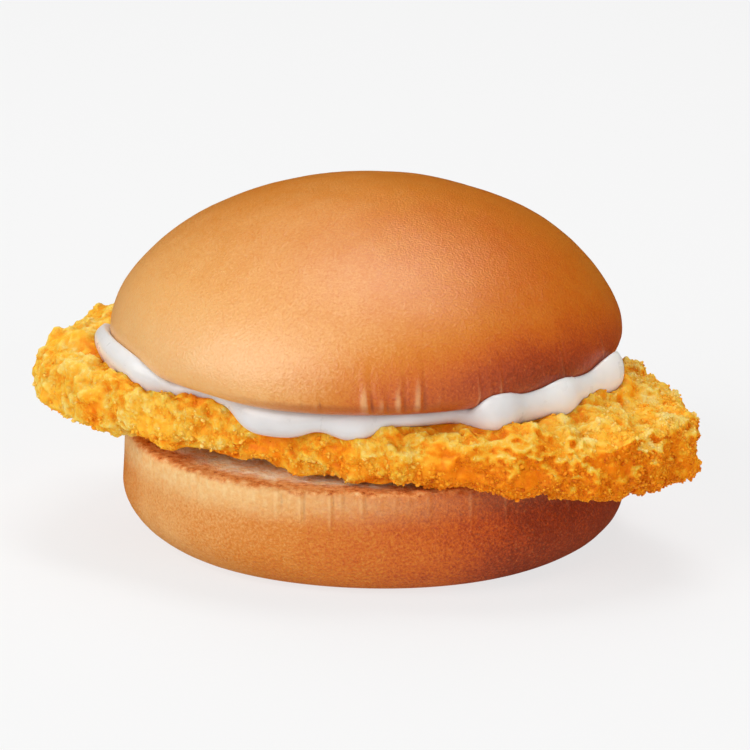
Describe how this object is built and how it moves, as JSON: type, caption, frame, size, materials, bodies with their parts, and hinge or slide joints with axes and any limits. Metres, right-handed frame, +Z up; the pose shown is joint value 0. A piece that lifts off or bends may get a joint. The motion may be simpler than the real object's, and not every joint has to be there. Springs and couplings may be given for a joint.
{
  "type": "chicken burger",
  "caption": "Chicken burger: a long fillet in craggy golden crumb and a layer of mayonnaise between a toasted heel bun and a smooth domed crown bun.",
  "frame": {"origin": "centre of the heel bun's flat base, on the surface that the burger stands on", "axes": "+Z up along the stack, +X to the right seen from the served side, which faces -Y; the fillet's length runs roughly along X"},
  "size_m": [0.1329, 0.1046, 0.0702],
  "materials": {
    "heel_bread": "soft baked bread crust, matte, orange-brown, with a pale band under the rim and a toasted, caramelised cut face",
    "fried_crumb": "craggy golden fried batter and crumb, pale yellow crests and deep orange creases, slightly oily",
    "mayonnaise": "smooth glossy off-white mayonnaise",
    "crown_bread": "smooth baked bread crust with a soft satin sheen, golden brown, darker towards its lower edge"
  },
  "bodies": {
    "root": {"heel_bun": "heel_bread", "chicken_fillet": "fried_crumb", "mayonnaise": "mayonnaise", "crown_bun": "crown_bread"}
  },
  "joints": []
}
